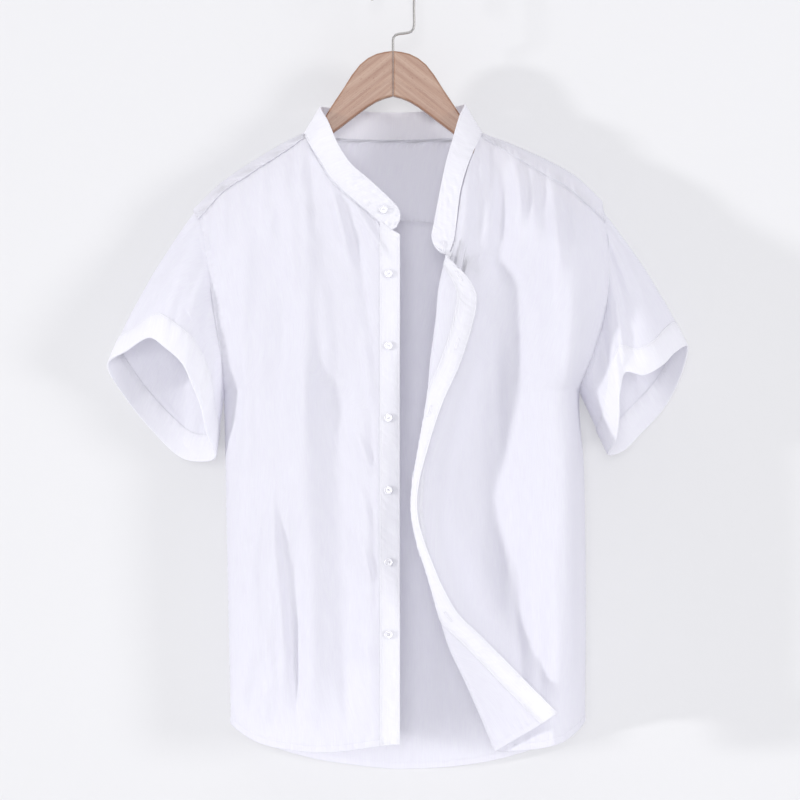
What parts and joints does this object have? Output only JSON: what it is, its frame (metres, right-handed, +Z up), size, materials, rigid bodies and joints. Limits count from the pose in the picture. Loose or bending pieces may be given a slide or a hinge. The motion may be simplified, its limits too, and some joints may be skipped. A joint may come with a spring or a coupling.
{
  "type": "mandarin collar shirt on a hanger",
  "caption": "White short-sleeved shirt with a mandarin collar and turned-up cuffs, hanging open with one front edge turned back, on a wooden hanger with a wire hook.",
  "frame": {"origin": "the point inside the top of the hook's arc, where the hook bears on its rail", "axes": "+Z up, -Y out of the shirt's front, +X to the right of someone looking at the front"},
  "size_m": [0.6668, 0.162, 0.926],
  "materials": {
    "cloth": "white plain-weave linen and cotton, soft and slightly slubby",
    "button": "white pearly resin",
    "hanger_wood": "pale beech, satin lacquer",
    "hook_steel": "bright plated steel wire"
  },
  "bodies": {
    "root": {"front_right_panel": "cloth", "button_placket": "cloth", "front_left_panel": "cloth", "buttonhole_placket": "cloth", "back_panel": "cloth", "yoke": "cloth", "collar_band": "cloth", "sleeve_right": "cloth", "sleeve_left": "cloth", "cuff_right": "cloth", "cuff_left": "cloth", "button_1": "button", "button_2": "button", "button_3": "button", "button_4": "button", "button_5": "button", "button_6": "button", "collar_button": "button", "hanger_arm_right": "hanger_wood", "hanger_arm_left": "hanger_wood", "hook_wire": "hook_steel"}
  },
  "joints": []
}
